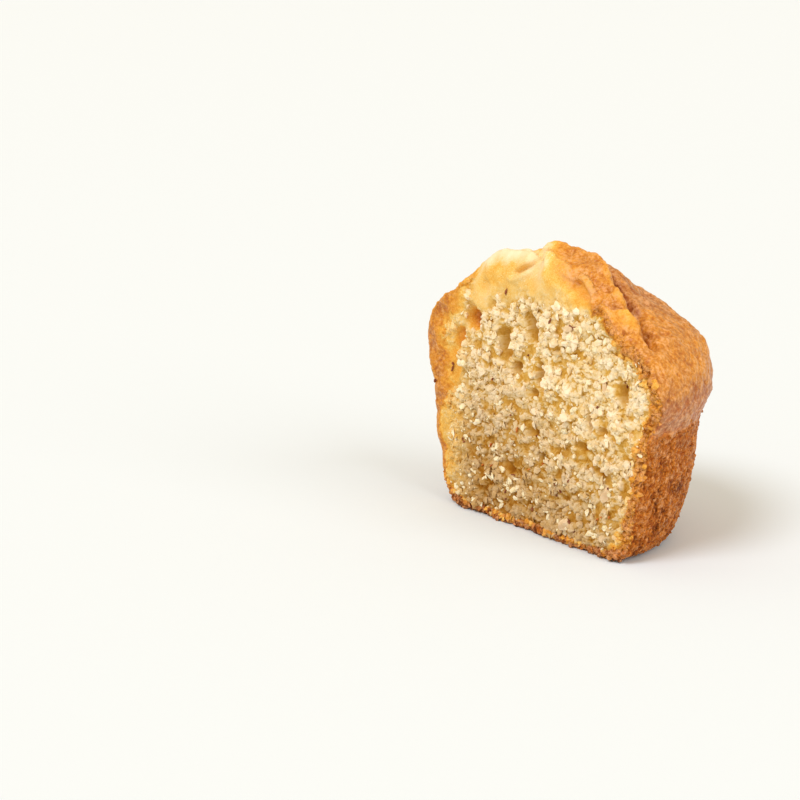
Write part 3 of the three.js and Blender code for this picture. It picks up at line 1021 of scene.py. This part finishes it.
def spongeMaterial():
    look = spongeLook
    material = startMaterial("bakedAlmondSponge")
    place = addNode(material, "ShaderNodeTexCoord")["Object"]
    place = addNode(  # patterns are sized in millimetres
        material, "ShaderNodeVectorMath", {0: place, "Scale": 1000}, operation="SCALE")[0]
    upright = addNode(
        material, "ShaderNodeVectorMath", {0: place, 1: look["upright"]}, operation="MULTIPLY")[0]
    apart = addNode(material, "ShaderNodeSeparateXYZ", {"Vector": place})
    values = dict(across=apart["X"], up=apart["Z"])
    for name in ("bake", "tone", "torn"):
        values[name] = addNode(material, "ShaderNodeAttribute", attribute_name=name)["Fac"]
    for name, (scale, detail, rough, distortion) in look["waves"].items():
        values[name] = addNode(
            material, "ShaderNodeTexNoise",
            {"Vector": upright if name == "crinkle" else place, "Scale": scale, "Detail": detail,
             "Roughness": rough, "Distortion": distortion})["Fac"]
    for name, scale in look["flakes"].items():
        cells = addNode(material, "ShaderNodeTexVoronoi", {"Vector": place, "Scale": scale})
        lean = addNode(
            material, "ShaderNodeVectorMath", {0: cells["Color"], 1: (0.5, 0.5, 0.5)},
            operation="SUBTRACT")[0]
        offset = addNode(
            material, "ShaderNodeVectorMath", {0: place, 1: cells["Position"]},
            operation="SUBTRACT")[0]
        values[name + "Flake"] = addNode(
            material, "ShaderNodeVectorMath", {0: offset, 1: lean},
            operation="DOT_PRODUCT")["Value"]
        values[name + "Shade"] = addNode(
            material, "ShaderNodeSeparateColor", {"Color": cells["Color"]})[0]
    for name, operation, *items in look["steps"]:
        inputs = {i: values.get(item, item) for i, item in enumerate(items)}
        if operation == "RANGE":
            values[name] = addNode(material, "ShaderNodeMapRange", inputs)[0]
        else:
            values[name] = addNode(
                material, "ShaderNodeMath", inputs, operation=operation,
                use_clamp=name in look["held"])[0]
    for name in ("crumb", "crust"):
        values[name] = addNode(
            material, "ShaderNodeValToRGB", {"Fac": values[name + "Level"]}, look[name])["Color"]
    for name, share, first, second, blend in look["tints"]:
        second = linear(second) if second[0] == "#" else values[second]
        values[name] = addNode(
            material, "ShaderNodeMix", {0: values[share], 6: values[first], 7: second},
            data_type="RGBA", blend_type=blend)[2]
    bump = {}
    for height, strength, depth, inward in look["bumps"]:
        inputs = {"Height": values[height], "Strength": strength, "Distance": depth}
        bump["Normal"] = addNode(
            material, "ShaderNodeBump", {**inputs, **bump}, invert=inward)[0]
    shader = addNode(
        material, "ShaderNodeBsdfPrincipled",
        {"Base Color": values["colour"], "Roughness": values["rough"], "IOR": look["ior"],
         "Specular IOR Level": values["shine"], **bump})
    addNode(material, "ShaderNodeOutputMaterial", {"Surface": shader[0]})
    return material


# Bits in the crumb, slightly see-through: two close colours in a grain of 1 mm.
bits = dict(perMetre=900, rough=0.5, bump=0.0002, seeThrough=0.2, ior=1.45)


def bitMaterial(name, dark, light, perMetre=bits["perMetre"]):
    material = startMaterial(name)
    place = addNode(material, "ShaderNodeTexCoord")["Object"]
    grain = addNode(
        material, "ShaderNodeTexNoise",
        {"Vector": place, "Scale": perMetre, "Detail": 3, "Roughness": 0.6})["Fac"]
    colour = addNode(
        material, "ShaderNodeValToRGB", {"Fac": grain}, [(0.3, dark), (0.7, light)])["Color"]
    bump = addNode(
        material, "ShaderNodeBump", {"Height": grain, "Strength": 0.4, "Distance": bits["bump"]})[0]
    shader = addNode(
        material, "ShaderNodeBsdfPrincipled",
        {"Base Color": colour, "Roughness": bits["rough"], "Normal": bump, "IOR": bits["ior"],
         "Subsurface Weight": bits["seeThrough"], "Subsurface Radius": (1.0, 0.8, 0.6),
         "Subsurface Scale": 0.0005})
    addNode(material, "ShaderNodeOutputMaterial", {"Surface": shader[0]})
    return material


sponge = spongeMaterial()
settle(bakedHalf, sponge)
settle(crumbFace, sponge)
settle(crumbChips, sponge, smooth=False)
settle(edgeCrumbs, sponge, smooth=False)
settle(almondMeal, bitMaterial("groundAlmond", "#efdcae", "#fdf3d8"), smooth=False)
settle(almondKernels, bitMaterial("choppedAlmond", "#d4b48c", "#ecd6b4", 700), smooth=False)
settle(almondSkins, bitMaterial("almondSkin", "#5a2414", "#8e4c30"), smooth=False)
settle(skinFlecks, bitMaterial("almondSkinFleck", "#6a2e16", "#a05a34"), smooth=False)
settle(toastedFlecks, bitMaterial("toastedSkin", "#b4531a", "#d98636"), smooth=False)

# Light and floor.
studio = dict(
    world=0.74, worldColour="#ffe9c4", floorRadius=6, floorColour="#e4f0ff", floorRough=0.9,
    suns=[("key", (-0.1, 0.6, -0.79), 1.45, 24), ("fill", (-0.85, -0.1, -0.5), 1.0, 40)])


def cardMaterial():
    # Matt studio card, a little cool so that it looks white in the warm light.
    material = startMaterial("studioCard")
    shader = addNode(
        material, "ShaderNodeBsdfPrincipled",
        {"Base Color": linear(studio["floorColour"]), "Roughness": studio["floorRough"]})
    addNode(material, "ShaderNodeOutputMaterial", {"Surface": shader[0]})
    return material


def setStudio():
    scene = bpy.context.scene
    world = bpy.data.worlds.new("studio")
    world.use_nodes = True
    background = world.node_tree.nodes["Background"].inputs
    background["Color"].default_value = linear(studio["worldColour"])
    background["Strength"].default_value = studio["world"]
    scene.world = world
    scene.view_settings.view_transform = "Standard"
    for name, aim, strength, angle in studio["suns"]:
        light = bpy.data.lights.new(name, "SUN")
        light.energy = strength
        light.angle = math.radians(angle)
        lamp = bpy.data.objects.new(name, light)
        scene.collection.objects.link(lamp)
        lamp.rotation_euler = Vector(aim).to_track_quat("-Z", "Y").to_euler()
    bm = bmesh.new()
    bmesh.ops.create_circle(bm, cap_ends=True, segments=96, radius=studio["floorRadius"])
    floor = newPiece("floor", bm)
    floor.data.materials.append(cardMaterial())


setStudio()
print("scene ready")
